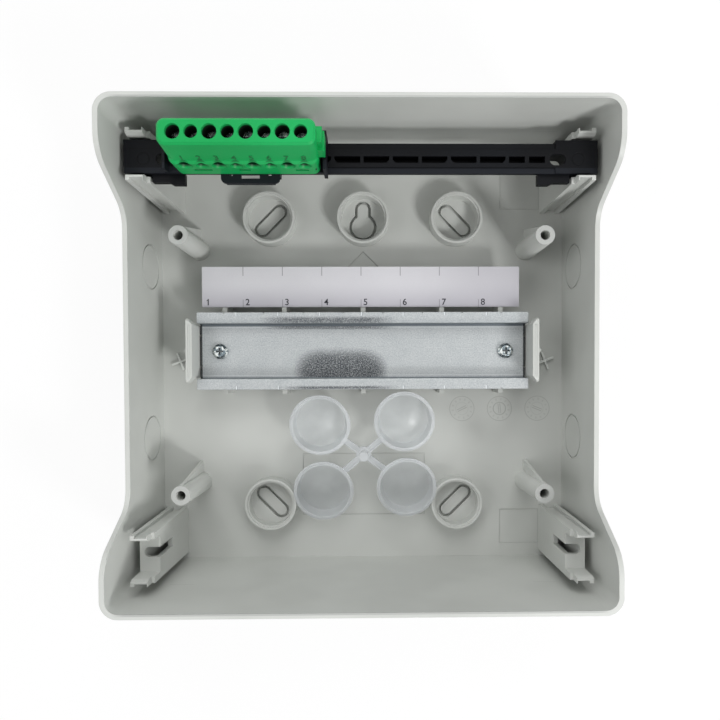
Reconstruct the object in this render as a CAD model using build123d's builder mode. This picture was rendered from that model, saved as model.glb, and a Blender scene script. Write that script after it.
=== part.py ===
from build123d import *
import os
from math import atan, atan2, cos, degrees, hypot, radians, sin, tan

os.makedirs("parts", exist_ok=True)

# The box lies on its back. Z = 0 is the outer back face, +Z comes out of the open
# front, +Y is the top of the box on the wall and +X is its right side.

# Box shell
BOX_WIDTH = 200.0  # across the open rim
BOX_HEIGHT = 198.2  # along the open rim
BOX_DEPTH = 69.5  # outer back to rim
BOX_DRAFT = 1.95  # lean of the four walls, in degrees
WALL = 2.0
BACK = 2.0
RIM_CORNER = 7.0
BACK_EDGE = 1.5

# Side walls are cut down between the two shoulders
WAIST_LEVEL = 43.5  # height of the low part of the side walls
WAIST_LENGTH = 121.0
DIP_LENGTH = 155.0  # the dip measured along the rim
DIP_TOP_ROUND = 14.0
DIP_FOOT_ROUND = 12.0
CUT_SPARE = 1.0  # how far a cut runs past the face that it opens

# Knock-out discs for conduits in the side walls
KNOCKOUT_DIA = 20.5
KNOCKOUT_LEVEL = 17.0
KNOCKOUT_YS = (42.5, -35.4)
KNOCKOUT_LINE = 0.7
KNOCKOUT_DEPTH = 0.6

# Pillars for the cover screws, each with a thin gusset on its upper side
PILLAR_X = 77.8
PILLAR_YS = (52.5, -58.0)
PILLAR_TOP = 38.0
PILLAR_DIA = 8.3
PILLAR_DRAFT = 0.9
PILLAR_HOLE = 4.1
PILLAR_HOLE_DEPTH = 22.0
GUSSET_REACH = 10.0
GUSSET_THICK = 1.3
GUSSET_STEP = 1.2  # top of the gusset under the top of the pillar

# C-shaped corner posts that carry the terminal support rail
POST_Y = BOX_HEIGHT / 2 - 18.05
POST_FACE = BOX_WIDTH / 2 - 14.8  # face of the web, at the top of the post
POST_THICK = 8.2  # from the web's face to the free ends of the arms
POST_TOP = 55.0
POST_DRAFT = 0.7
POST_GAP = 15.4  # between the two arms
POST_SHELF = 43.2
POST_STEP_LEVEL = 50.0  # above this the arms start further out
POST_STEP = 1.3
ARM_THICK = 1.5
ARM_BEVEL = 0.7  # lead-in on the arms' inner faces
ARM_BEVEL_DEEP = 2.0
ARM_RIDGE = 1.1  # the ridges stand out from the arm by this
ARM_RIDGE_WIDTH = 1.6
WEB_THICK = 1.8
POST_SLOT = 4.2
POST_SLOT_Y = POST_Y - 0.6
POST_SLOT_FLOOR = 26.5
POST_SLOT_REACH = 6.4  # from the web's face to the round end of the slot

# Wells for the screws that hold the box to the wall
WELL_X = 43.7
WELL_TOP_Y = 66.3
WELL_LOW_Y = -67.6
WELL_DIA = 24.0
WELL_WALL = 1.8
WELL_HEIGHT = 9.0
WELL_STEP = 0.8
WELL_FLOOR = 1.5  # the floor stands this far above the back wall
WELL_TURN = 45.0  # of the slots
SLOT_LENGTH = 19.0
SLOT_WIDTH = 7.5
SLOT_GROOVE = 1.2  # width of the groove round the piece to be broken out
SLOT_SUNK = 0.5  # that piece lies this far under the well's floor
SLOT_SKIN = 0.9  # thin wall left under the groove
KEY_HEAD = 13.0
KEY_NECK = 7.5
KEY_SPREAD = 8.4  # between the centres of head and neck
KEY_SHIFT = 1.3  # middle of the keyhole above the middle of the well

# Hat rail, 35 mm wide and 7.5 mm high
RAIL_WIDTH = 35.0
RAIL_HEIGHT = 7.5
RAIL_INSIDE = 25.0
RAIL_SHEET = 1.0
RAIL_LENGTH = 150.6
RAIL_BEND = 0.6
RAIL_Y = 4.1
RAIL_SEAT = 11.6  # underside of the rail above the outer back
RAIL_NOTCH = 0.7
RAIL_NOTCH_Y = 7.2
MODULE = 18.0
MODULES = 8
NICK = 0.5

# Screws of the hat rail
RAIL_SCREW_X = 66.0
SCREW_HEAD = 7.0
SCREW_HEAD_HIGH = 2.4
SCREW_HEAD_BEVEL = 1.1
SCREW_SHANK = 3.5
SCREW_LENGTH = 8.0
SCREW_HOLE_CLEARANCE = 0.35
CROSS_WIDE = 3.4
CROSS_ARM = 0.8
CROSS_DEEP = 1.5
BOSS_DIA = 9.0

# Ribs that carry the hat rail and the label strip
RIB_XS = (-63.4, -36.2, 0.0, 36.2, 63.4)
RIB_THICK = 2.2
RIB_LEVEL = 14.9  # top of the ribs under the strip
RIB_LOW_END = -15.4
RIB_CLEAR = 0.4  # beside the hat of the rail

# Upright tabs at the two ends of the hat rail
TAB_THICK = 2.8
TAB_WIDE = 28.8
TAB_NARROW = 24.6
TAB_TOP = 26.0
TAB_SHOULDER = 20.5
TAB_GAP = 0.4
TAB_CORNER = 1.8
TAB_BEVEL_ACROSS = 2.0  # bevels of the tab's ends, on the rail's side
TAB_BEVEL_ALONG = 3.0
TAB_GROOVE = 0.9
TAB_GROOVE_DEEP = 0.6
TAB_RIB = 1.6
TAB_RIB_WIDE = 3.4

# Cross marks on the back wall beside the tabs
CROSS_MARK_X = 87.3
CROSS_MARK_Y = -0.4
CROSS_MARK_SPAN = 8.6
CROSS_MARK_BAR = 0.9
CROSS_MARK_HIGH = 1.3
CROSS_MARK_TURN = 21.0

# Shallow marks in the back wall
MARK_DEEP = 0.3
CHEVRON_Y = 52.0  # tip of the mark above the label strip
CHEVRON_HIGH = 8.6
PANEL_WIDTH = 58.4
PANEL_HEIGHT = 29.5
PANEL_Y = -59.55
PANEL_CORNER = 2.5
PATCH_WIDTH = 18.6
PATCH_HEIGHT = 16.4
PATCH_X = 75.0
PATCH_Y = 80.5

# Label strip
STRIP_LENGTH = 145.4
STRIP_WIDTH = 18.4
STRIP_THICK = 0.5
STRIP_X = -0.9
STRIP_Y = 33.5

# Black rail that carries the terminal block, between two corner posts
BEAM_LENGTH = 2 * (POST_FACE + 9.8)
BEAM_WIDTH = 11.95
BEAM_Y = POST_Y - 0.82
BEAM_TOP = 52.0
BEAM_PLATE = 2.4
BEAM_LIP = 2.3  # width of the low strips along both edges
BEAM_LIP_STEP = 0.5
BEAM_CORE = 8.2
BEAM_CORE_BOTTOM = 45.5
BEAM_END_LENGTH = 17.0
BEAM_END_WIDTH = 13.2
BEAM_TONGUE_LENGTH = 5.0
BEAM_TONGUE_BOTTOM = 31.0
BEAM_SLOT_Y = BEAM_Y - 0.5
BEAM_SLOT_LENGTH = 10.3
BEAM_SLOT_WIDE = 2.6
BEAM_SLOT_PITCH = 11.7
BEAM_SLOT_DEEP = 5.3
BEAM_SLOT_SLANT = 1.2
BEAM_SLOTS = 10
BEAM_SHORT_LENGTH = 6.4
BEAM_SHORT_XS = (62.4, 70.5)
BEAM_EYE_X = POST_FACE - 6.3
BEAM_EYE_LENGTH = 6.5
BEAM_EYE_WIDE = 4.4
FOOT_LENGTH = 13.0
FOOT_REACH = 4.0
FOOT_LEVEL = 50.0
FOOT_THICK = 3.0
FOOT_BEVEL = 1.8

# Running clearance between the carrier and its rail
SLIDE_GAP = 0.3

# Green terminal block on its black carrier
POLES = 8
POLE_PITCH = 6.53
POLE_SHIFT = 0.29  # middle of the poles to the right of the middle of the block
BLOCK_X = -44.78
BLOCK_LENGTH = 56.85
BLOCK_TOP = 80.3
BLOCK_BACK_Y = BEAM_Y + 5.22
BLOCK_TOP_WIDTH = 9.55
BLOCK_SHOULDER_WIDTH = 10.9
BLOCK_FOOT_WIDTH = 12.0
BLOCK_SHELF = 65.6  # the face of the wire mouths ends here
BLOCK_SHELF_RISE = 1.0
BLOCK_CORNER = 2.9
BLOCK_EDGE = 0.8  # bevel round the top
SCREW_BORE_LARGE = 5.5
SCREW_BORE_SMALL = 4.9
WIRE_LEVEL = 63.5
FUNNEL_LARGE = 6.1
FUNNEL_SMALL = 5.2
FUNNEL_DEEP = 1.3
FUNNEL_SLOPE = 30.0
VENTS = ((-16.9, 7.1), (-0.7, 4.5), (21.6, 5.2))  # place along the block, and length
VENT_HIGH = 1.5
VENT_LEVEL = 58.3
VENT_DEEP = 1.6
LUG_STEPS = ((1.85, 5.8, 74.3), (2.45, 7.4, 69.9))  # reach, width and top of each step
LUG_BACK_Y = BLOCK_BACK_Y - 0.85

CARRIER_PLATE = 1.2
CARRIER_LEFT = 4.5  # carrier past the left end of the block
CARRIER_WALL = 1.1
CARRIER_LIP = 1.3
CARRIER_LIP_REACH = 1.2
CARRIER_HOOK_LENGTH = 34.0
CARRIER_END_TOP = 62.0
CARRIER_END_GAP = 1.35
CARRIER_END_THICK = 1.4
CARRIER_STOP_TOP = 59.0
CLIP_LENGTH = 23.45
CLIP_SHIFT = 0.45
CLIP_REACH = 4.45  # past the lower edge of the rail
CLIP_CORNER = 2.0
CLIP_BAR = 1.3  # thicker bar along the outer edge
CLIP_BAR_DROP = 1.5
CLIP_HOOK_LENGTH = 3.2
CLIP_WINDOW = 7.3
CLIP_WINDOW_HIGH = 1.5
CLIP_SLIT = 1.3
CLIP_SLIT_HIGH = 0.8
CLIP_SLIT_X = 7.7

# Brass bar and clamp screws in the terminal block
BAR_WIDTH = 6.4
BAR_HEIGHT = 8.4
BAR_Y = BEAM_Y + 0.37
BAR_END = 2.4  # block wall past the end of the bar
BAR_PLAY = 0.2
BAR_WIRE = 4.2  # wire window of each pole
CLAMP_SHANK = 3.5
CLAMP_PLAY = 0.05  # radial, in the bar
CLAMP_HEAD_GAP = 0.35  # radial, in the block
CLAMP_HEAD_HIGH = 3.2
CLAMP_LENGTH = 8.0  # tip to the underside of the head
CLAMP_TIP_GAP = 0.55  # tip above the floor of the wire window, screwed in
CLAMP_SLOT = 0.9
CLAMP_SLOT_DEEP = 1.3

# Moulding with four caps for the wells, on cross runners, lying loose in the box
CAP_X = 19.4
CAP_Y = 15.7
CAP_MIDDLE_X = 0.0
CAP_MIDDLE_Y = -44.8
CAP_TURN = 2.3
CAP_TILT = 8.0
CAP_RIM_DIA = 28.0
CAP_MOUTH_DIA = 26.4
CAP_FLOOR_DIA = 24.6
CAP_HEIGHT = 8.0
CAP_WALL = 0.9
CAP_LIP = 0.7
CAP_LIP_DROP = 0.5  # of the lip under the cap's edge
CAP_REST_GAP = 0.15
CAP_REST_Y = -68.0  # where the lip of a cap lies on the collar of a well
RUNNER_DROP = 4.2  # of the runners under the caps' edges
RUNNER_WIDE = 2.9
RUNNER_HIGH = 2.2
RUNNER_GROOVE = 1.9
RUNNER_GROOVE_DEEP = 0.5
HUB_DIA = 7.2
STUB_DIA = 4.4


def lean(height, angle):
    """Sideways travel of a drafted face over a height."""
    return height * tan(radians(angle))


def inner_side(level):
    """Inner face of a side wall, measured from the middle of the box."""
    return BOX_WIDTH / 2 - WALL - lean(BOX_DEPTH - level, BOX_DRAFT)


# Back box, one moulding
well_points = [
    (-WELL_X, WELL_TOP_Y),
    (0, WELL_TOP_Y),
    (WELL_X, WELL_TOP_Y),
    (-WELL_X, WELL_LOW_Y),
    (WELL_X, WELL_LOW_Y),
]
slotted_wells = [(p, WELL_TURN if p[0] * p[1] < 0 else -WELL_TURN) for p in well_points if p[0]]
pillar_points = [(x, y) for x in (-PILLAR_X, PILLAR_X) for y in PILLAR_YS]
post_points = [(x, y) for x in (-1, 1) for y in (-1, 1)]
rail_screw_points = [(-RAIL_SCREW_X, RAIL_Y), (RAIL_SCREW_X, RAIL_Y)]
rail_top = RAIL_SEAT + RAIL_HEIGHT
hat_half = RAIL_INSIDE / 2 + RAIL_SHEET
post_half = POST_GAP / 2 + ARM_THICK + ARM_RIDGE
well_floor = BACK + WELL_FLOOR

with BuildPart() as back_box:
    with BuildSketch(Plane.XY.offset(BOX_DEPTH)):
        RectangleRounded(BOX_WIDTH, BOX_HEIGHT, RIM_CORNER)
    extrude(amount=-BOX_DEPTH, taper=BOX_DRAFT)
    chamfer(back_box.faces().sort_by(Axis.Z)[0].edges(), BACK_EDGE)
    with BuildSketch(Plane.XY.offset(BOX_DEPTH)):
        RectangleRounded(BOX_WIDTH - 2 * WALL, BOX_HEIGHT - 2 * WALL, RIM_CORNER - WALL)
    extrude(amount=-(BOX_DEPTH - BACK), taper=BOX_DRAFT, mode=Mode.SUBTRACT)

    # Dips in the two side walls
    with BuildSketch(Plane.YZ) as dip:
        top, past = DIP_LENGTH / 2, DIP_LENGTH / 2 + DIP_TOP_ROUND
        with BuildLine():
            Polyline(
                (-past, BOX_DEPTH + CUT_SPARE),
                (-past, BOX_DEPTH),
                (-top, BOX_DEPTH),
                (-WAIST_LENGTH / 2, WAIST_LEVEL),
                (WAIST_LENGTH / 2, WAIST_LEVEL),
                (top, BOX_DEPTH),
                (past, BOX_DEPTH),
                (past, BOX_DEPTH + CUT_SPARE),
                close=True,
            )
        make_face()
        # In the sketch, X runs along the wall and Y is the height
        fillet(dip.vertices().group_by(Axis.Y)[0], DIP_FOOT_ROUND)
        shoulders = [v for v in dip.vertices() if abs(abs(v.X) - top) < CUT_SPARE / 2]
        fillet(shoulders, DIP_TOP_ROUND)
    extrude(amount=BOX_WIDTH, both=True, mode=Mode.SUBTRACT)

    # Knock-out rings, cut into the inner faces of the side walls
    for side in (-1, 1):
        for y in KNOCKOUT_YS:
            wall_plane = Plane(
                origin=(side * inner_side(KNOCKOUT_LEVEL), y, KNOCKOUT_LEVEL),
                x_dir=(0, 1, 0),
                z_dir=(-side, 0, tan(radians(BOX_DRAFT))),
            )
            with BuildSketch(wall_plane):
                Circle(KNOCKOUT_DIA / 2)
                Circle(KNOCKOUT_DIA / 2 - KNOCKOUT_LINE, mode=Mode.SUBTRACT)
            extrude(amount=-KNOCKOUT_DEPTH, mode=Mode.SUBTRACT)

    # Cover-screw pillars and their gussets
    with BuildSketch(Plane.XY.offset(PILLAR_TOP)):
        with Locations(*pillar_points):
            Circle(PILLAR_DIA / 2)
    extrude(amount=-(PILLAR_TOP - BACK), taper=-PILLAR_DRAFT)
    for x in (-PILLAR_X, PILLAR_X):
        with BuildSketch(Plane.YZ.offset(x)):
            for y in PILLAR_YS:
                Polygon(
                    (y + PILLAR_HOLE / 2 + WALL / 2, BACK),
                    (y + GUSSET_REACH, BACK),
                    (y + PILLAR_DIA / 2, PILLAR_TOP - GUSSET_STEP),
                    (y + PILLAR_HOLE / 2 + WALL / 2, PILLAR_TOP - GUSSET_STEP),
                    align=None,
                )
        extrude(amount=GUSSET_THICK / 2, both=True)
    with BuildSketch(Plane.XY.offset(PILLAR_TOP)):
        with Locations(*pillar_points):
            Circle(PILLAR_HOLE / 2)
    extrude(amount=-PILLAR_HOLE_DEPTH, mode=Mode.SUBTRACT)

    # Corner posts: drafted block, gap between the arms, channels, core and slot
    post_x = POST_FACE + POST_THICK / 2
    with BuildSketch(Plane.XY.offset(POST_TOP)):
        with GridLocations(2 * post_x, 2 * POST_Y, 2, 2):
            Rectangle(POST_THICK, 2 * post_half)
    extrude(amount=-(POST_TOP - BACK), taper=-POST_DRAFT)
    with BuildSketch(Plane.XY.offset(POST_SHELF)):
        with GridLocations(2 * post_x, 2 * POST_Y, 2, 2):
            Rectangle(POST_THICK + 2 * CUT_SPARE, POST_GAP)
    extrude(amount=POST_TOP - POST_SHELF + CUT_SPARE, mode=Mode.SUBTRACT)
    with BuildSketch(Plane.XY.offset(POST_TOP)):
        with GridLocations(2 * post_x, 2 * POST_Y, 2, 2):
            Rectangle(POST_THICK + 2 * CUT_SPARE, POST_GAP + 2 * ARM_BEVEL)
    bevel_slope = degrees(atan2(ARM_BEVEL, ARM_BEVEL_DEEP))
    extrude(amount=-ARM_BEVEL_DEEP, taper=bevel_slope, mode=Mode.SUBTRACT)
    with BuildSketch(Plane.XY.offset(POST_STEP_LEVEL)):
        with GridLocations(2 * (POST_FACE + POST_STEP - POST_THICK / 2), 2 * POST_Y, 2, 2):
            Rectangle(POST_THICK, 2 * (post_half + CUT_SPARE))
    extrude(amount=POST_TOP - POST_STEP_LEVEL + CUT_SPARE, mode=Mode.SUBTRACT)
    channel = ARM_RIDGE + lean(POST_TOP - BACK, POST_DRAFT) + CUT_SPARE
    channel_y = POST_GAP / 2 + ARM_THICK + channel / 2
    with BuildSketch(Plane.XY.offset(BACK)):
        for sx, sy in post_points:
            with Locations((sx * post_x, sy * POST_Y)):
                with GridLocations(0, 2 * channel_y, 1, 2):
                    Rectangle(POST_THICK - 2 * ARM_RIDGE_WIDTH, channel)
    extrude(amount=POST_TOP - BACK + CUT_SPARE, mode=Mode.SUBTRACT)
    with BuildSketch(Plane.XY):
        with GridLocations(2 * post_x, 2 * POST_Y, 2, 2):
            Rectangle(POST_THICK - 2 * WEB_THICK, POST_GAP - 2 * WEB_THICK)
    extrude(amount=POST_SHELF - WEB_THICK, mode=Mode.SUBTRACT)
    slot_half = POST_SLOT_REACH - POST_SLOT / 2
    with BuildSketch(Plane.XY.offset(POST_SLOT_FLOOR)):
        for sx, sy in post_points:
            with Locations((sx * (POST_FACE + slot_half), sy * POST_SLOT_Y)):
                Circle(POST_SLOT / 2)
            with Locations((sx * (POST_FACE + slot_half / 2 - CUT_SPARE), sy * POST_SLOT_Y)):
                Rectangle(slot_half + 2 * CUT_SPARE, POST_SLOT)
    extrude(amount=POST_TOP - POST_SLOT_FLOOR, mode=Mode.SUBTRACT)

    # Wells: collars with a stepped mouth, raised floors, grooved slots and a keyhole
    well_inner = WELL_DIA / 2 - WELL_WALL
    with BuildSketch(Plane.XY.offset(BACK)):
        with Locations(*well_points):
            Circle(WELL_DIA / 2)
            Circle(well_inner, mode=Mode.SUBTRACT)
    extrude(amount=WELL_HEIGHT)
    with BuildSketch(Plane.XY.offset(BACK + WELL_HEIGHT)):
        with Locations(*well_points):
            Circle(well_inner + WELL_STEP)
    extrude(amount=-WELL_STEP, mode=Mode.SUBTRACT)
    with BuildSketch(Plane.XY.offset(BACK)):
        with Locations(*well_points):
            Circle(well_inner)
    extrude(amount=WELL_FLOOR)
    key_middle = WELL_TOP_Y + KEY_SHIFT
    whole, island = (0, Mode.ADD), (SLOT_GROOVE, Mode.SUBTRACT)
    for depth, outlines in ((SLOT_SUNK, (whole,)), (well_floor - SLOT_SKIN, (whole, island))):
        with BuildSketch(Plane.XY.offset(well_floor)):
            for inset, mode in outlines:
                for point, turn in slotted_wells:
                    with Locations(point):
                        SlotOverall(SLOT_LENGTH - 2 * inset, SLOT_WIDTH - 2 * inset, turn, mode=mode)
                with Locations((0, key_middle - KEY_SPREAD / 2)):
                    Circle(KEY_HEAD / 2 - inset, mode=mode)
                with Locations((0, key_middle)):
                    SlotCenterToCenter(KEY_SPREAD, KEY_NECK - 2 * inset, 90, mode=mode)
        extrude(amount=-depth, mode=Mode.SUBTRACT)

    # Shallow marks: tip above the strip, panel under the caps, patches at two posts
    with BuildSketch(Plane.XY.offset(BACK)):
        Polygon(
            (0, CHEVRON_Y),
            (-CHEVRON_HIGH, CHEVRON_Y - CHEVRON_HIGH),
            (CHEVRON_HIGH, CHEVRON_Y - CHEVRON_HIGH),
            align=None,
        )
        with Locations((0, PANEL_Y)):
            RectangleRounded(PANEL_WIDTH, PANEL_HEIGHT, PANEL_CORNER)
        with Locations((PATCH_X, PATCH_Y), (PATCH_X, -PATCH_Y)):
            Rectangle(PATCH_WIDTH, PATCH_HEIGHT)
    extrude(amount=-MARK_DEEP, mode=Mode.SUBTRACT)

    # Seats of the hat rail: saddle ribs and two screw bosses
    for x in RIB_XS:
        with BuildSketch(Plane.YZ.offset(x)):
            with BuildLine():
                Polyline(
                    (RIB_LOW_END, BACK),
                    (RIB_LOW_END, RIB_LEVEL),
                    (RAIL_Y - hat_half - RIB_CLEAR, RIB_LEVEL),
                    (RAIL_Y - hat_half - RIB_CLEAR, RAIL_SEAT),
                    (RAIL_Y + hat_half + RIB_CLEAR, RAIL_SEAT),
                    (RAIL_Y + hat_half + RIB_CLEAR, RIB_LEVEL),
                    (STRIP_Y + STRIP_WIDTH / 2, RIB_LEVEL),
                    (STRIP_Y + STRIP_WIDTH / 2, BACK),
                    close=True,
                )
            make_face()
        extrude(amount=RIB_THICK / 2, both=True)
    with BuildSketch(Plane.XY.offset(BACK)):
        with Locations(*rail_screw_points):
            Circle(BOSS_DIA / 2)
    extrude(amount=RAIL_SEAT - BACK)
    with BuildSketch(Plane.XY.offset(RAIL_SEAT)):
        with Locations(*rail_screw_points):
            Circle(SCREW_SHANK / 2 + CLAMP_PLAY)
    extrude(amount=-SCREW_LENGTH, mode=Mode.SUBTRACT)

    # End tabs of the hat rail, wider above the shoulder, with a pointed rib behind
    tab_face = RAIL_LENGTH / 2 + TAB_GAP
    slope = (TAB_WIDE - TAB_NARROW) / 2
    for side in (-1, 1):
        with BuildSketch(Plane.YZ.offset(side * (tab_face + TAB_THICK / 2))) as tab:
            with BuildLine():
                Polyline(
                    (RAIL_Y - TAB_NARROW / 2, BACK),
                    (RAIL_Y - TAB_NARROW / 2, TAB_SHOULDER - slope),
                    (RAIL_Y - TAB_WIDE / 2, TAB_SHOULDER),
                    (RAIL_Y - TAB_WIDE / 2, TAB_TOP),
                    (RAIL_Y + TAB_WIDE / 2, TAB_TOP),
                    (RAIL_Y + TAB_WIDE / 2, TAB_SHOULDER),
                    (RAIL_Y + TAB_NARROW / 2, TAB_SHOULDER - slope),
                    (RAIL_Y + TAB_NARROW / 2, BACK),
                    close=True,
                )
            make_face()
            fillet(tab.vertices().group_by(Axis.Y)[-1], TAB_CORNER)
        extrude(amount=TAB_THICK / 2, both=True)
        with BuildSketch(Plane.XY.offset(BACK)):
            back_x = side * (tab_face + TAB_THICK)
            Polygon(
                (back_x, RAIL_Y - TAB_RIB_WIDE / 2),
                (back_x + side * TAB_RIB, RAIL_Y),
                (back_x, RAIL_Y + TAB_RIB_WIDE / 2),
                (back_x - side * TAB_RIB / 2, RAIL_Y),
                align=None,
            )
        extrude(amount=TAB_TOP - BACK - TAB_CORNER)
        with BuildSketch(Plane.XY.offset(TAB_TOP)):
            for end in (-1, 1):
                tip_y = RAIL_Y + end * (TAB_WIDE / 2 + NICK)
                Polygon(
                    (side * (tab_face - NICK), tip_y - end * (TAB_BEVEL_ALONG + 2 * NICK)),
                    (side * (tab_face - NICK), tip_y),
                    (side * (tab_face + TAB_BEVEL_ACROSS + NICK), tip_y),
                    align=None,
                )
        extrude(amount=-(TAB_TOP - BACK), mode=Mode.SUBTRACT)
        with BuildSketch(Plane.XY.offset(TAB_TOP)):
            with Locations((side * (tab_face + TAB_THICK / 2), RAIL_Y)):
                Rectangle(TAB_GROOVE, TAB_WIDE - 2 * TAB_BEVEL_ALONG)
        extrude(amount=-TAB_GROOVE_DEEP, mode=Mode.SUBTRACT)

    # Cross marks on the back wall
    with BuildSketch(Plane.XY.offset(BACK)):
        for x in (-CROSS_MARK_X, CROSS_MARK_X):
            with Locations((x, CROSS_MARK_Y)):
                Rectangle(CROSS_MARK_SPAN, CROSS_MARK_BAR, rotation=CROSS_MARK_TURN)
                Rectangle(CROSS_MARK_SPAN, CROSS_MARK_BAR, rotation=CROSS_MARK_TURN + 90)
    extrude(amount=CROSS_MARK_HIGH)
back_box.part.label = "back_box"
export_step(back_box.part, "parts/back_box.step")

# Hat rail, rolled sheet open to the front
with BuildPart() as din_rail:
    inside, outside = RAIL_INSIDE / 2, RAIL_WIDTH / 2
    with BuildSketch(Plane.YZ) as hat:
        with Locations((RAIL_Y, RAIL_SEAT)):
            Polygon(
                (-outside, RAIL_HEIGHT - RAIL_SHEET),
                (-outside, RAIL_HEIGHT),
                (-inside, RAIL_HEIGHT),
                (-inside, RAIL_SHEET),
                (inside, RAIL_SHEET),
                (inside, RAIL_HEIGHT),
                (outside, RAIL_HEIGHT),
                (outside, RAIL_HEIGHT - RAIL_SHEET),
                (hat_half, RAIL_HEIGHT - RAIL_SHEET),
                (hat_half, 0),
                (-hat_half, 0),
                (-hat_half, RAIL_HEIGHT - RAIL_SHEET),
                align=None,
            )
        fillet([v for v in hat.vertices() if abs(v.X - RAIL_Y) < hat_half + NICK], RAIL_BEND)
    extrude(amount=RAIL_LENGTH / 2, both=True)
    with BuildSketch(Plane.XY.offset(RAIL_SEAT)):
        with Locations(*rail_screw_points):
            Circle(SCREW_SHANK / 2 + SCREW_HOLE_CLEARANCE)
        with Locations((0, RAIL_Y)):
            with GridLocations(RAIL_LENGTH, 2 * RAIL_NOTCH_Y, 2, 2):
                Circle(RAIL_NOTCH)
    extrude(amount=RAIL_SHEET, mode=Mode.SUBTRACT)
    with BuildSketch(Plane.XY.offset(rail_top)):
        with Locations((0, RAIL_Y)):
            with GridLocations(MODULE, RAIL_WIDTH, MODULES, 2):
                Rectangle(NICK, 2 * NICK)
    extrude(amount=-RAIL_SHEET, mode=Mode.SUBTRACT)
din_rail.part.label = "din_rail"
export_step(din_rail.part, "parts/din_rail.step")

# Two raised-head screws hold the hat rail to its bosses
for name, x in (("rail_screw_left", -RAIL_SCREW_X), ("rail_screw_right", RAIL_SCREW_X)):
    head_seat = RAIL_SEAT + RAIL_SHEET
    with BuildPart() as rail_screw:
        with BuildSketch(Plane.XY.offset(head_seat)):
            with Locations((x, RAIL_Y)):
                Circle(SCREW_HEAD / 2)
        extrude(amount=SCREW_HEAD_HIGH)
        chamfer(rail_screw.edges().group_by(Axis.Z)[-1], SCREW_HEAD_BEVEL)
        with BuildSketch(Plane.XY.offset(head_seat)):
            with Locations((x, RAIL_Y)):
                Circle(SCREW_SHANK / 2)
        extrude(amount=-SCREW_LENGTH)
        with BuildSketch(Plane.XY.offset(head_seat + SCREW_HEAD_HIGH)):
            with Locations((x, RAIL_Y)):
                Rectangle(CROSS_WIDE, CROSS_ARM)
                Rectangle(CROSS_ARM, CROSS_WIDE)
        extrude(amount=-CROSS_DEEP, mode=Mode.SUBTRACT)
    rail_screw.part.label = name
    export_step(rail_screw.part, f"parts/{name}.step")

# Card strip for the circuit numbers
with BuildPart() as label_strip:
    with BuildSketch(Plane.XY.offset(RIB_LEVEL)):
        with Locations((STRIP_X, STRIP_Y)):
            Rectangle(STRIP_LENGTH, STRIP_WIDTH)
    extrude(amount=STRIP_THICK)
label_strip.part.label = "label_strip"
export_step(label_strip.part, "parts/label_strip.step")

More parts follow.
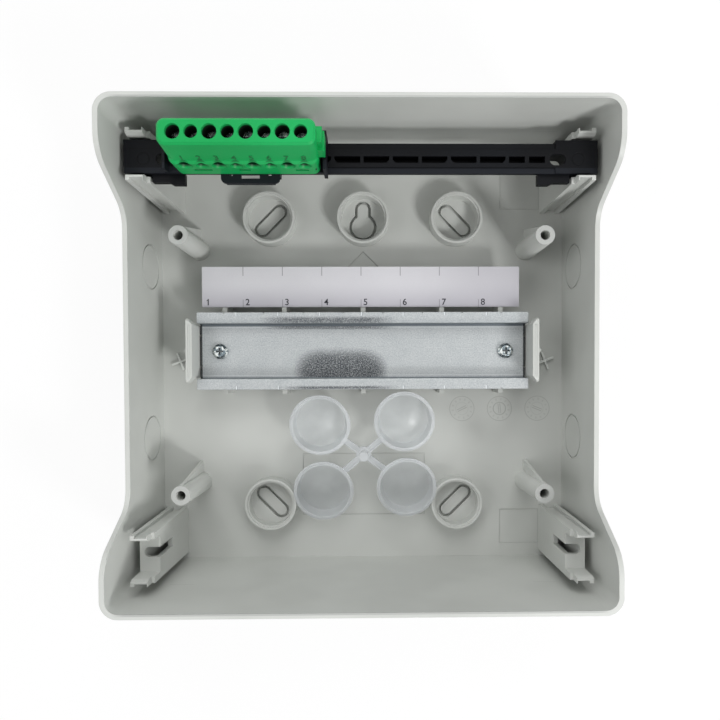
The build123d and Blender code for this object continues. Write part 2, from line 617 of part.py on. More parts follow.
# Black rail for the terminal block: plate and core, end blocks, tongues and feet
beam_low = BEAM_Y - BEAM_WIDTH / 2
beam_high = BEAM_Y + BEAM_WIDTH / 2
beam_under = BEAM_TOP - BEAM_PLATE
with BuildPart() as terminal_rail:
    with BuildSketch(Plane.YZ):
        with Locations((BEAM_Y, 0)):
            Polygon(
                (-BEAM_WIDTH / 2, beam_under),
                (-BEAM_WIDTH / 2, BEAM_TOP - BEAM_LIP_STEP),
                (-BEAM_WIDTH / 2 + BEAM_LIP, BEAM_TOP - BEAM_LIP_STEP),
                (-BEAM_WIDTH / 2 + BEAM_LIP, BEAM_TOP),
                (BEAM_WIDTH / 2 - BEAM_LIP, BEAM_TOP),
                (BEAM_WIDTH / 2 - BEAM_LIP, BEAM_TOP - BEAM_LIP_STEP),
                (BEAM_WIDTH / 2, BEAM_TOP - BEAM_LIP_STEP),
                (BEAM_WIDTH / 2, beam_under),
                (BEAM_CORE / 2, beam_under),
                (BEAM_CORE / 2, BEAM_CORE_BOTTOM),
                (-BEAM_CORE / 2, BEAM_CORE_BOTTOM),
                (-BEAM_CORE / 2, beam_under),
                align=None,
            )
    extrude(amount=BEAM_LENGTH / 2, both=True)
    # End blocks seat on the shelves of the posts
    end_y = beam_low + BEAM_END_WIDTH / 2
    with BuildSketch(Plane.XY.offset(POST_SHELF)):
        with Locations((0, end_y)):
            with GridLocations(BEAM_LENGTH - BEAM_END_LENGTH, 0, 2, 1):
                Rectangle(BEAM_END_LENGTH, BEAM_END_WIDTH)
    extrude(amount=BEAM_TOP - POST_SHELF)
    # Tongues drop into the slots of the posts
    tongue_x = POST_FACE + POST_SLOT_REACH - POST_SLOT / 2 - BEAM_TONGUE_LENGTH / 2
    with BuildSketch(Plane.XY.offset(POST_SHELF)):
        with Locations((0, POST_SLOT_Y)):
            with GridLocations(2 * tongue_x, 0, 2, 1):
                Rectangle(BEAM_TONGUE_LENGTH, POST_SLOT - 2 * SLIDE_GAP)
    extrude(amount=-(POST_SHELF - BEAM_TONGUE_BOTTOM))
    # Latch feet on the lower side
    foot_outer = POST_FACE - lean(POST_TOP - BACK, POST_DRAFT) - SLIDE_GAP
    with BuildSketch(Plane.XY.offset(FOOT_LEVEL - FOOT_THICK)):
        for side in (-1, 1):
            Polygon(
                (side * foot_outer, beam_low + SLIDE_GAP),
                (side * foot_outer, beam_low - FOOT_REACH + FOOT_BEVEL / 2),
                (side * (foot_outer - FOOT_LENGTH / 2), beam_low - FOOT_REACH + FOOT_BEVEL / 2),
                (side * (foot_outer - FOOT_LENGTH / 2 - FOOT_BEVEL), beam_low - FOOT_REACH),
                (side * (foot_outer - FOOT_LENGTH), beam_low - FOOT_REACH),
                (side * (foot_outer - FOOT_LENGTH), beam_low + SLIDE_GAP),
                align=None,
            )
    extrude(amount=FOOT_THICK)
    # Row of deep windows with every other end slanted, and an eye at each end
    half, wide = BEAM_SLOT_LENGTH / 2, BEAM_SLOT_WIDE / 2
    with BuildSketch(Plane.XY.offset(BEAM_TOP)):
        for i in range(BEAM_SLOTS):
            hand = 1 if i % 2 else -1
            middle = (i - (BEAM_SLOTS - 1) / 2) * BEAM_SLOT_PITCH
            Polygon(
                (middle - hand * half, BEAM_SLOT_Y - wide),
                (middle + hand * (half - BEAM_SLOT_SLANT), BEAM_SLOT_Y - wide),
                (middle + hand * half, BEAM_SLOT_Y),
                (middle + hand * half, BEAM_SLOT_Y + wide),
                (middle - hand * half, BEAM_SLOT_Y + wide),
                align=None,
            )
        for x in BEAM_SHORT_XS:
            with Locations((-x, BEAM_SLOT_Y), (x, BEAM_SLOT_Y)):
                Rectangle(BEAM_SHORT_LENGTH, BEAM_SLOT_WIDE)
    extrude(amount=-BEAM_SLOT_DEEP, mode=Mode.SUBTRACT)
    with BuildSketch(Plane.XY.offset(BEAM_TOP)):
        with Locations((0, BEAM_SLOT_Y)):
            with GridLocations(2 * BEAM_EYE_X, 0, 2, 1):
                SlotOverall(BEAM_EYE_LENGTH, BEAM_EYE_WIDE)
    extrude(amount=-(BEAM_TOP - POST_SHELF + CUT_SPARE), mode=Mode.SUBTRACT)
terminal_rail.part.label = "terminal_support_rail"
export_step(terminal_rail.part, "parts/terminal_support_rail.step")

# Carrier of the terminal block, hooked round both edges of the black rail
carrier_seat = BEAM_TOP + SLIDE_GAP
block_foot = carrier_seat + CARRIER_PLATE
block_left = BLOCK_X - BLOCK_LENGTH / 2
block_right = BLOCK_X + BLOCK_LENGTH / 2
carrier_left = block_left - CARRIER_LEFT
carrier_right = block_right + CARRIER_END_GAP
carrier_clear = CARRIER_END_TOP + SLIDE_GAP
hook_in_low = beam_low - SLIDE_GAP
hook_in_high = beam_high + SLIDE_GAP
lip_top = beam_under - SLIDE_GAP
bar_low = WIRE_LEVEL - BAR_HEIGHT / 2
bar_top = bar_low + BAR_HEIGHT
bar_length = BLOCK_LENGTH - 2 * (BAR_END + BAR_PLAY)
with BuildPart() as terminal_carrier:
    with BuildSketch(Plane.XY.offset(carrier_seat)):
        with Locations(((carrier_left + carrier_right) / 2, BEAM_Y)):
            Rectangle(carrier_right - carrier_left, BEAM_WIDTH + 2 * SLIDE_GAP)
    extrude(amount=CARRIER_PLATE)
    # Long hook on the upper edge
    with BuildSketch(Plane.YZ.offset(BLOCK_X - CARRIER_HOOK_LENGTH / 2)):
        Polygon(
            (hook_in_high - CARRIER_WALL, block_foot),
            (hook_in_high + CARRIER_WALL, block_foot),
            (hook_in_high + CARRIER_WALL, lip_top - CARRIER_LIP),
            (hook_in_high - CARRIER_LIP_REACH, lip_top - CARRIER_LIP),
            (hook_in_high - CARRIER_LIP_REACH, lip_top),
            (hook_in_high, lip_top),
            (hook_in_high, carrier_seat),
            (hook_in_high - CARRIER_WALL, carrier_seat),
            align=None,
        )
    extrude(amount=CARRIER_HOOK_LENGTH)
    # Spring clip on the lower edge: flange with a window and two slits, bar and two hooks
    clip_x = BLOCK_X + CLIP_SHIFT
    clip_edge = beam_low - CLIP_REACH
    with BuildSketch(Plane.XY.offset(carrier_seat)) as flange:
        with Locations((clip_x, (clip_edge + hook_in_low + CARRIER_WALL) / 2)):
            Rectangle(CLIP_LENGTH, hook_in_low + CARRIER_WALL - clip_edge)
        fillet(flange.vertices().group_by(Axis.Y)[0], CLIP_CORNER)
        with Locations((clip_x, hook_in_low - CLIP_SLIT_HIGH - CLIP_WINDOW_HIGH / 2)):
            Rectangle(CLIP_WINDOW, CLIP_WINDOW_HIGH, mode=Mode.SUBTRACT)
        with Locations((clip_x, hook_in_low - CLIP_SLIT_HIGH)):
            with GridLocations(2 * CLIP_SLIT_X, 0, 2, 1):
                Rectangle(CLIP_SLIT, CLIP_SLIT_HIGH, mode=Mode.SUBTRACT)
    extrude(amount=CARRIER_PLATE)
    with BuildSketch(Plane.XY.offset(carrier_seat)):
        with Locations((clip_x, clip_edge + CLIP_BAR / 2)):
            Rectangle(CLIP_LENGTH - 2 * CLIP_CORNER, CLIP_BAR)
    extrude(amount=-CLIP_BAR_DROP)
    hook_x = CLIP_LENGTH / 2 - CLIP_HOOK_LENGTH
    for x in (clip_x - CLIP_LENGTH / 2, clip_x + hook_x):
        with BuildSketch(Plane.YZ.offset(x)):
            Polygon(
                (hook_in_low + CARRIER_WALL, block_foot),
                (hook_in_low - CARRIER_WALL, block_foot),
                (hook_in_low - CARRIER_WALL, lip_top - CARRIER_LIP),
                (hook_in_low + CARRIER_LIP_REACH, lip_top - CARRIER_LIP),
                (hook_in_low + CARRIER_LIP_REACH, lip_top),
                (hook_in_low, lip_top),
                (hook_in_low, carrier_seat),
                (hook_in_low + CARRIER_WALL, carrier_seat),
                align=None,
            )
        extrude(amount=CLIP_HOOK_LENGTH)
    # Raised seat of the brass bar
    with BuildSketch(Plane.XY.offset(block_foot)):
        with Locations((BLOCK_X, BAR_Y)):
            Rectangle(bar_length, BAR_WIDTH)
    extrude(amount=bar_low - block_foot)
    # End plate astride the rail, and a low stop that meets the end block's shoulder
    for x, thick, top in (
        (carrier_right, CARRIER_END_THICK, CARRIER_END_TOP),
        (carrier_left, CARRIER_WALL, CARRIER_STOP_TOP),
    ):
        with BuildSketch(Plane.YZ.offset(x)):
            with Locations((BEAM_Y, (carrier_seat + top) / 2)):
                Rectangle(BEAM_WIDTH + 2 * SLIDE_GAP, top - carrier_seat)
        extrude(amount=thick)
    with BuildSketch(Plane.YZ.offset(carrier_right)):
        for wall_y, side in ((hook_in_low, -1), (hook_in_high, 1)):
            with Locations((wall_y + side * CARRIER_WALL / 2, (lip_top + CARRIER_END_TOP) / 2)):
                Rectangle(CARRIER_WALL, CARRIER_END_TOP - lip_top)
    extrude(amount=CARRIER_END_THICK)
    with BuildSketch(Plane.YZ.offset(carrier_left)):
        with Locations((hook_in_high + CARRIER_WALL / 2, (lip_top + CARRIER_STOP_TOP) / 2)):
            Rectangle(CARRIER_WALL, CARRIER_STOP_TOP - lip_top)
    extrude(amount=CARRIER_WALL)
terminal_carrier.part.label = "terminal_carrier"
export_step(terminal_carrier.part, "parts/terminal_carrier.step")

# Green block: screw bores on top, wire mouths in front, pocket for the brass bar
pole_middle = BLOCK_X + POLE_SHIFT
pole_xs = [pole_middle + (i - (POLES - 1) / 2) * POLE_PITCH for i in range(POLES)]
front_foot = BLOCK_BACK_Y - BLOCK_FOOT_WIDTH
block_sections = (
    (block_foot, BLOCK_FOOT_WIDTH),
    (BLOCK_SHELF, BLOCK_FOOT_WIDTH),
    (BLOCK_SHELF + BLOCK_SHELF_RISE, BLOCK_SHOULDER_WIDTH),
    (BLOCK_TOP, BLOCK_TOP_WIDTH),
)
with BuildPart() as terminal_block:
    for below, above in zip(block_sections, block_sections[1:]):
        for level, width in (below, above):
            with BuildSketch(Plane.XY.offset(level)):
                with Locations((BLOCK_X, BLOCK_BACK_Y - width / 2)):
                    RectangleRounded(BLOCK_LENGTH, width, BLOCK_CORNER)
        loft()
    chamfer(terminal_block.faces().sort_by(Axis.Z)[-1].edges(), BLOCK_EDGE)
    # Stepped lug on the right end
    for reach, wide, top in LUG_STEPS:
        with BuildSketch(Plane.YZ.offset(block_right - BLOCK_CORNER)):
            with Locations((LUG_BACK_Y - wide / 2, (carrier_clear + top) / 2)):
                Rectangle(wide, top - carrier_clear)
        extrude(amount=BLOCK_CORNER + reach)
    with BuildSketch(Plane.XY.offset(block_foot)):
        with Locations((BLOCK_X, BAR_Y)):
            Rectangle(bar_length + 2 * BAR_PLAY, BAR_WIDTH + 2 * BAR_PLAY)
    extrude(amount=bar_top + BAR_PLAY - block_foot, mode=Mode.SUBTRACT)
    for i, x in enumerate(pole_xs):
        bore = SCREW_BORE_SMALL if i % 2 else SCREW_BORE_LARGE
        funnel = FUNNEL_SMALL if i % 2 else FUNNEL_LARGE
        with BuildSketch(Plane.XY.offset(BLOCK_TOP)):
            with Locations((x, BAR_Y)):
                Circle(bore / 2)
        extrude(amount=-(BLOCK_TOP - bar_top), mode=Mode.SUBTRACT)
        with BuildSketch(Plane.XZ.offset(-front_foot)):
            with Locations((x, WIRE_LEVEL)):
                Circle(funnel / 2)
        extrude(amount=-FUNNEL_DEEP, taper=FUNNEL_SLOPE, mode=Mode.SUBTRACT)
        with BuildSketch(Plane.XZ.offset(-BAR_Y)):
            with Locations((x, WIRE_LEVEL)):
                Circle(funnel / 2 - lean(FUNNEL_DEEP, FUNNEL_SLOPE))
        extrude(amount=BAR_Y - front_foot, mode=Mode.SUBTRACT)
    with BuildSketch(Plane.XZ.offset(-(front_foot + VENT_DEEP))):
        for along, length in VENTS:
            with Locations((BLOCK_X + along, VENT_LEVEL)):
                Rectangle(length, VENT_HIGH)
    extrude(amount=VENT_DEEP + CUT_SPARE, mode=Mode.SUBTRACT)
terminal_block.part.label = "terminal_block_housing"
export_step(terminal_block.part, "parts/terminal_block_housing.step")

# Brass bar with a threaded hole and a wire window at each pole
with BuildPart() as terminal_bar:
    with BuildSketch(Plane.XY.offset(bar_low)):
        with Locations((BLOCK_X, BAR_Y)):
            Rectangle(bar_length, BAR_WIDTH)
    extrude(amount=BAR_HEIGHT)
    with BuildSketch(Plane.XY.offset(bar_top)):
        for x in pole_xs:
            with Locations((x, BAR_Y)):
                Circle(CLAMP_SHANK / 2 + CLAMP_PLAY)
    extrude(amount=-(bar_top - WIRE_LEVEL), mode=Mode.SUBTRACT)
    with BuildSketch(Plane.XZ.offset(-BAR_Y)):
        for x in pole_xs:
            with Locations((x, WIRE_LEVEL)):
                Rectangle(BAR_WIRE, BAR_WIRE)
    extrude(amount=BAR_WIDTH, both=True, mode=Mode.SUBTRACT)
terminal_bar.part.label = "terminal_bar"
export_step(terminal_bar.part, "parts/terminal_bar.step")

# Clamp screws, one at each pole, screwed in
clamp_tip = WIRE_LEVEL - BAR_WIRE / 2 + CLAMP_TIP_GAP
clamp_head = clamp_tip + CLAMP_LENGTH
for i, x in enumerate(pole_xs):
    bore = SCREW_BORE_SMALL if i % 2 else SCREW_BORE_LARGE
    with BuildPart() as clamp_screw:
        with BuildSketch(Plane.XY.offset(clamp_tip)):
            with Locations((x, BAR_Y)):
                Circle(CLAMP_SHANK / 2)
        extrude(amount=CLAMP_LENGTH)
        with BuildSketch(Plane.XY.offset(clamp_head)):
            with Locations((x, BAR_Y)):
                Circle(bore / 2 - CLAMP_HEAD_GAP)
        extrude(amount=CLAMP_HEAD_HIGH)
        with BuildSketch(Plane.XY.offset(clamp_head + CLAMP_HEAD_HIGH)):
            with Locations((x, BAR_Y)):
                Rectangle(bore, CLAMP_SLOT)
        extrude(amount=-CLAMP_SLOT_DEEP, mode=Mode.SUBTRACT)
    clamp_screw.part.label = f"terminal_screw_{i + 1}"
    export_step(clamp_screw.part, f"parts/terminal_screw_{i + 1}.step")

# Four caps on cross runners, leaning on the collars of the lower wells
tilt, turn = radians(CAP_TILT), radians(CAP_TURN)
lip_level = BACK + WELL_HEIGHT + CAP_REST_GAP + (CAP_LIP_DROP + CAP_LIP) / cos(tilt)
middle_level = lip_level + tan(tilt) * (CAP_MIDDLE_Y - CAP_REST_Y)
sprue_plane = Plane(
    origin=(CAP_MIDDLE_X, CAP_MIDDLE_Y, middle_level),
    x_dir=(cos(turn), sin(turn) * cos(tilt), sin(turn) * sin(tilt)),
    z_dir=(0, -sin(tilt), cos(tilt)),
)
with BuildPart() as cap_sprue:
    cup_draft = degrees(atan((CAP_MOUTH_DIA - CAP_FLOOR_DIA) / 2 / CAP_HEIGHT))
    cap_spots = GridLocations(2 * CAP_X, 2 * CAP_Y, 2, 2)
    with BuildSketch(sprue_plane):
        with cap_spots:
            Circle(CAP_MOUTH_DIA / 2)
    extrude(amount=-CAP_HEIGHT, taper=cup_draft)
    with BuildSketch(sprue_plane.offset(-CAP_LIP_DROP)):
        with cap_spots:
            Circle(CAP_RIM_DIA / 2)
    extrude(amount=-CAP_LIP)
    # Runners from the hub to the walls of the caps, grooved on top
    runner_plane = sprue_plane.offset(-RUNNER_DROP)
    runner = hypot(CAP_X, CAP_Y) - CAP_MOUTH_DIA / 2 + CAP_WALL
    runner_turn = degrees(atan2(CAP_Y, CAP_X))
    for wide, high, mode in (
        (RUNNER_WIDE, RUNNER_HIGH, Mode.ADD),
        (RUNNER_GROOVE, RUNNER_GROOVE_DEEP, Mode.SUBTRACT),
    ):
        with BuildSketch(runner_plane):
            for angle in (runner_turn, -runner_turn):
                Rectangle(2 * runner, wide, angle)
        extrude(amount=-high, mode=mode)
    with BuildSketch(sprue_plane):
        with cap_spots:
            Circle(CAP_MOUTH_DIA / 2 - CAP_WALL)
    extrude(amount=-(CAP_HEIGHT - CAP_WALL), taper=cup_draft, mode=Mode.SUBTRACT)
    # Hub, and the stub that rises from it
    with BuildSketch(runner_plane.offset(-RUNNER_GROOVE_DEEP)):
        Circle(HUB_DIA / 2)
    extrude(amount=-(RUNNER_HIGH - RUNNER_GROOVE_DEEP))
    with BuildSketch(sprue_plane):
        Circle(STUB_DIA / 2)
    extrude(amount=-(RUNNER_DROP + RUNNER_HIGH))
cap_sprue.part.label = "cap_sprue"
export_step(cap_sprue.part, "parts/cap_sprue.step")
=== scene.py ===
from math import atan2, cos, pi, radians, sin, tan

import bmesh
import bpy
from mathutils import Euler, Matrix, Vector


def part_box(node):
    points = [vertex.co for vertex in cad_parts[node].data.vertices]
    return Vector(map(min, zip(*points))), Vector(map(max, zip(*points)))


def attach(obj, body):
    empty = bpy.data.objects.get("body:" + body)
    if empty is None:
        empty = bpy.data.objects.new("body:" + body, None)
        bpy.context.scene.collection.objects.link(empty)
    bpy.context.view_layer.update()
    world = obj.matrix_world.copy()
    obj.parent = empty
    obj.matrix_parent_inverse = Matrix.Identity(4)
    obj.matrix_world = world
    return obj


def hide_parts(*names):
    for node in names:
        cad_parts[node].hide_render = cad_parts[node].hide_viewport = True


MM = 0.001

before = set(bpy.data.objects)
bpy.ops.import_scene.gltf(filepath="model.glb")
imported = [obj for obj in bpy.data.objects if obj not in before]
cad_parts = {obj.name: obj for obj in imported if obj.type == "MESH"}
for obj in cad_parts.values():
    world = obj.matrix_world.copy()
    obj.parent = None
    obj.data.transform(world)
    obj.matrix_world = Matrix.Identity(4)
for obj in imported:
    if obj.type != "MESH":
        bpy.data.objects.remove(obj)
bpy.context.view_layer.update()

# Places on the part: X to its right side, Y to its top, Z from the wall out of the open front
RIM_LEVEL, RIM_INNER_Y = 69.2 * MM, 97.9 * MM  # the level is just under the rim
PILLAR_X, PILLAR_TOP = 77.8 * MM, 38.0 * MM
CROSS_X = 87.3 * MM
DIAL_Y = -23.4 * MM
RAIL_Y, RAIL_SCREW_X = 4.1 * MM, 66.0 * MM
WEB_LEVEL, FLANGE_LEVEL = 14.0 * MM, 18.0 * MM  # just over the hat rail's web and under its flanges
STRIP_X, STRIP_Y, MODULE = -0.9 * MM, 33.5 * MM, 18.0 * MM
BLACK_RAIL_LEVEL = 51.0 * MM  # just under the front of the black rail
FIRST_POLE_X, POLE_PITCH, BORE_Y = -67.345 * MM, 6.53 * MM, 80.6 * MM
BLOCK_X, BLOCK_HALF = -44.5 * MM, 27.0 * MM


def paint(red, green, blue):
    """Colour as it is seen, 0 to 255, turned into the shader's linear colour."""
    shade = []
    for level in (red, green, blue):
        level /= 255
        shade.append(level / 12.92 if level <= 0.04045 else ((level + 0.055) / 1.055) ** 2.4)
    return (*shade, 1.0)


class Signal:
    """A socket in a network of nodes, with the arithmetic that the finishes use."""

    def __init__(self, network, socket):
        self.network, self.socket = network, socket

    def calc(self, operation, *values):
        return self.network.node("ShaderNodeMath", {"operation": operation}, dict(enumerate(values)))

    def __add__(self, other):
        return self.calc("ADD", self, other)

    def __sub__(self, other):
        return self.calc("SUBTRACT", self, other)

    def __rsub__(self, other):
        return self.calc("SUBTRACT", other, self)

    def __mul__(self, other):
        return self.calc("MULTIPLY", self, other)

    def __truediv__(self, other):
        return self.calc("DIVIDE", self, other)

    def __lt__(self, other):
        return self.calc("LESS_THAN", self, other)

    def __gt__(self, other):
        return self.calc("GREATER_THAN", self, other)

    def __abs__(self):
        return self.calc("ABSOLUTE", self)

    def between(self, low, high):
        """1 between two levels."""
        return (self > low) * (self < high)

    def ramp(self, start, end, low=0.0, high=1.0):
        """Goes smoothly from low to high while this signal goes from start to end."""
        return self.network.node(
            "ShaderNodeMapRange",
            {"interpolation_type": "SMOOTHSTEP"},
            {0: self, 1: start, 2: end, 3: low, 4: high},
        )

    def from_nearest(self, first, pitch):
        """Distance from the nearest of many marks, a pitch apart, one of them at first."""
        step = (self - first) / pitch + 0.5
        return (step.calc("FRACT", step) - 0.5) * pitch


class Network:
    """A tree of nodes, with one way to make any node."""

    def __init__(self, tree):
        self.nodes, self.links = tree.nodes, tree.links

    def node(self, kind, settings=None, inputs=None, output=0):
        """Makes a node, feeds its inputs and gives one of its outputs."""
        made = self.nodes.new(kind)
        for key, value in (settings or {}).items():
            setattr(made, key, value)
        for key, value in (inputs or {}).items():
            self.feed(made.inputs[key], value)
        return Signal(self, made.outputs[output])

    def feed(self, socket, value):
        if isinstance(value, Signal):
            self.links.new(value.socket, socket)
        else:
            socket.default_value = value

    def sight(self):
        """1 for rays of the camera, of reflections and through clear parts, 0 for other light."""
        kinds = self.node("ShaderNodeLightPath").socket.node.outputs
        camera, glossy, through = (
            Signal(self, kinds[f"Is {kind} Ray"]) for kind in ("Camera", "Glossy", "Transmission")
        )
        return either(either(camera, glossy), through)


class Finish(Network):
    """A material made of nodes, on object coordinates."""

    def __init__(self, name, **constants):
        self.material = bpy.data.materials.new(name)
        self.material.use_nodes = True
        super().__init__(self.material.node_tree)
        self.shader = self.nodes["Principled BSDF"]
        for word, value in constants.items():
            socket = word.replace("_", " ").title().replace("Ior", "IOR")
            self.shader.inputs[socket].default_value = value
        self.place = self.node("ShaderNodeTexCoord", output="Object")

    def set(self, socket, value):
        """Feeds a socket of the shader."""
        self.feed(self.shader.inputs[socket], value)

    def now(self, socket):
        """What feeds a socket of the shader so far."""
        return Signal(self, self.shader.inputs[socket].links[0].from_socket)

    def axes(self):
        """The three coordinates, in metres."""
        outputs = self.node("ShaderNodeSeparateXYZ", inputs={0: self.place}).socket.node.outputs
        return [Signal(self, outputs[i]) for i in range(3)]

    def away_from(self, x, y):
        """Distance from the line through x, y that runs parallel to Z."""
        flat = self.stretched((1, 1, 0), (-x, -y, 0))
        return self.node("ShaderNodeVectorMath", {"operation": "LENGTH"}, {0: flat}, "Value")

    def stretched(self, scale, shift=(0, 0, 0)):
        """Object coordinates times a scale, then shifted; a small scale draws things out."""
        return self.node(
            "ShaderNodeMapping", inputs={"Vector": self.place, "Scale": scale, "Location": shift}
        )

    def noise(self, size, detail=3.0, roughness=0.5, place=None):
        """Cloudy value from 0 to 1, with features about size metres across."""
        return self.node(
            "ShaderNodeTexNoise",
            inputs={
                "Vector": place or self.place, "Scale": 1 / size, "Detail": detail, "Roughness": roughness,
            },
        )

    def mix(self, share, first, second):
        """Colour that goes from first to second as the share goes from 0 to 1."""
        return self.node("ShaderNodeMix", {"data_type": "RGBA"}, {0: share, 6: first, 7: second}, 2)

    def rounded(self, radius):
        """Normal with the sharp edges eased, as on a moulding."""
        return self.node("ShaderNodeBevel", {"samples": 4}, {"Radius": radius})

    def bump(self, height, depth, strength=1.0, under=None):
        """Normal of a surface that rises with height, on top of the normal under it."""
        inputs = {"Height": height, "Distance": depth, "Strength": strength}
        if under:
            inputs["Normal"] = under
        return self.node("ShaderNodeBump", inputs=inputs)


def either(first, second):
    """The larger of two signals."""
    return first.calc("MAXIMUM", first, second)


def disc(across, rise, radius):
    """1 within a radius, 0 outside it."""
    return (across * across + rise * rise) < radius ** 2


def fine_line(distance, half_width):
    """1 on a thin line, falling off softly at both sides."""
    return abs(distance).ramp(half_width * 0.5, half_width * 1.5, 1.0, 0.0)


def frame_line(across, rise, half_length, half_height, half_width):
    """1 on the thin outline of a rectangle."""
    return fine_line(either(abs(across) - half_length, abs(rise) - half_height), half_width)


def moulded_plastic(name, tone, tone_dark, rough, grain, specular=0.45):
    """Fine spark-eroded grain, faint flow marks and a little dust in a moulding."""
    finish = Finish(name, specular_ior_level=specular)
    flow = finish.noise(38 * MM, 2.0)
    fine = finish.noise(grain * 1.8, 4.0, 0.65)
    speck = finish.noise(1.9 * MM, 6.0, 0.7)
    colour = finish.mix(flow.ramp(0.36, 0.66), tone, tone_dark)
    colour = finish.mix(speck.ramp(0.66, 0.8, 0.0, 0.22), colour, tone_dark)
    finish.set("Base Color", colour)
    finish.set("Roughness", fine * 0.12 + flow * 0.1 + (rough - 0.11))
    coarse = finish.bump(flow, 0.25 * MM, 0.1, finish.rounded(0.2 * MM))
    finish.set("Normal", finish.bump(fine, grain * 0.12, 0.35, coarse))
    return finish


def date_dial(finish, x, y, middle_x, turn, hub_share):
    """Dial of a date stamp: an outer ring, a hub, twelve dashes and a hand turned by some degrees."""
    away = finish.away_from(middle_x, DIAL_Y)
    across, rise = x - middle_x, y - DIAL_Y
    along = across * cos(radians(turn)) + rise * sin(radians(turn))
    aside = rise * cos(radians(turn)) - across * sin(radians(turn))
    ring = fine_line(away - 5.9 * MM, 0.16 * MM) * 0.8
    hub = fine_line(away - 3.0 * MM, 0.2 * MM) * hub_share
    hand = fine_line(abs(aside) - 0.45 * MM, 0.16 * MM)
    hand = hand * abs(along).ramp(2.3 * MM, 2.5 * MM, 1.0, 0.0)
    sector = (aside.calc("ARCTAN2", aside, along) / (2 * pi) + 1) * 12
    dashes = abs(sector.calc("FRACT", sector) - 0.5).ramp(0.1, 0.2, 0.7, 0.0)
    dashes = dashes * fine_line(away - 4.5 * MM, 0.5 * MM) * 0.6
    return either(either(ring, hub), either(hand, dashes))


def housing_plastic():
    """Grey plastic of the back box, with the shallow marks of its mould on the back wall and painted shade
    in them, a painted highlight on the cross marks' bars, and painted shade on the rim tops and pillar
    tips.
    """
    finish = moulded_plastic(
        "housing_grey", paint(197, 199, 195), paint(190, 192, 188), 0.42, 0.5 * MM
    )
    x, y, z = finish.axes()
    dials = [
        date_dial(finish, x, y, middle_x * MM, turn, hub_share)
        for middle_x, turn, hub_share in ((47.4, 26, 0.25), (65.6, 96, 1.0), (83.8, -22, 0.3))
    ]
    dials = either(either(dials[0], dials[1]), dials[2]) * 0.75
    # A chevron above the strip, a panel under the caps and two patches in the right corners, with painted
    # shade in their shallow grooves; the chevron's right leg, turned from the light, is painted darker
    # than its left
    chevron = fine_line(abs(x) + y - 52.0 * MM, 0.3 * MM) * (y > 43 * MM)
    chevron = chevron * (x > 0) + chevron * (x < 0) * 0.3
    panel = frame_line(x, y + 59.55 * MM, 29.2 * MM, 14.75 * MM, 0.16 * MM)
    patches = frame_line(x - 75 * MM, abs(y) - 80.5 * MM, 9.3 * MM, 8.2 * MM, 0.14 * MM)
    marks = either(either(dials, chevron), either(panel * 0.55, patches * 0.45)) * (z < 3 * MM)
    # Painted highlight on the raised bars of the two cross marks
    bar_highlight = z.between(2.9 * MM, 3.6 * MM) * (abs(abs(x) - CROSS_X) < 5.5 * MM) * (abs(y) < 6 * MM)
    # Painted shade on the tops of the long rims, which leaves a light outer edge only, and on the tips of
    # the pillars
    rim = (z > RIM_LEVEL) * (abs(y) < RIM_INNER_Y) * abs(x).ramp(90 * MM, 96 * MM, 1.0, 0.0)
    tip_shade = z.between(PILLAR_TOP - 0.1 * MM, PILLAR_TOP + 0.1 * MM)
    tip_shade = tip_shade * (abs(abs(x) - PILLAR_X) < 5 * MM)
    colour = finish.mix(bar_highlight * 0.8, finish.now("Base Color"), paint(226, 228, 225))
    # Painted shade in the grooves of the mould marks
    colour = finish.mix(marks * 0.5, colour, paint(104, 107, 104))
    finish.set("Base Color", finish.mix(either(rim, tip_shade) * 0.8, colour, paint(164, 166, 163)))
    finish.set("Normal", finish.bump(marks * -1.0, 0.2 * MM, 0.4, finish.now("Normal")))
    return finish


def rail_plastic():
    """Black plastic with painted shade in the rail's windows, a ring mark at each of its ends with painted
    shade in it, painted shade along the lips and painted light on the lower lip.
    """
    finish = moulded_plastic(
        "rail_black", paint(13, 15, 19), paint(8, 9, 12), 0.46, 0.4 * MM, 0.1
    )
    x, y, z = finish.axes()
    front = z > BLACK_RAIL_LEVEL
    window = (abs(y - 79.73 * MM) < 1.5 * MM) * (abs(x) < 79 * MM)
    # Painted shade low in the windows
    window_shade = window * z.ramp(51.2 * MM, 51.9 * MM, 1.0, 0.0)
    # The ring mark at each end, with painted shade in its groove
    rings = either(
        *(fine_line(finish.away_from(side * CROSS_X, 80 * MM) - 2.4 * MM, 0.2 * MM) for side in (1, -1))
    )
    rings = rings * (z > 50 * MM)
    # Painted shade along the steps of the lips, and painted light on the lower lip
    lip_shade = fine_line(abs(y - 80.23 * MM) - 3.7 * MM, 0.14 * MM) * front
    lower_lip_light = (y < 76.5 * MM) * front
    colour = finish.mix(lower_lip_light * 0.5, finish.now("Base Color"), paint(36, 39, 45))
    colour = finish.mix(window_shade, colour, paint(3, 3, 4))
    finish.set("Base Color", finish.mix(either(rings, lip_shade) * 0.7, colour, paint(4, 5, 6)))
    finish.set("Normal", finish.bump(rings * -1.0, 0.2 * MM, 0.6, finish.now("Normal")))
    return finish


def from_pole(x):
    """Distance along X from the nearest pole of the terminal block."""
    return x.from_nearest(FIRST_POLE_X, POLE_PITCH)


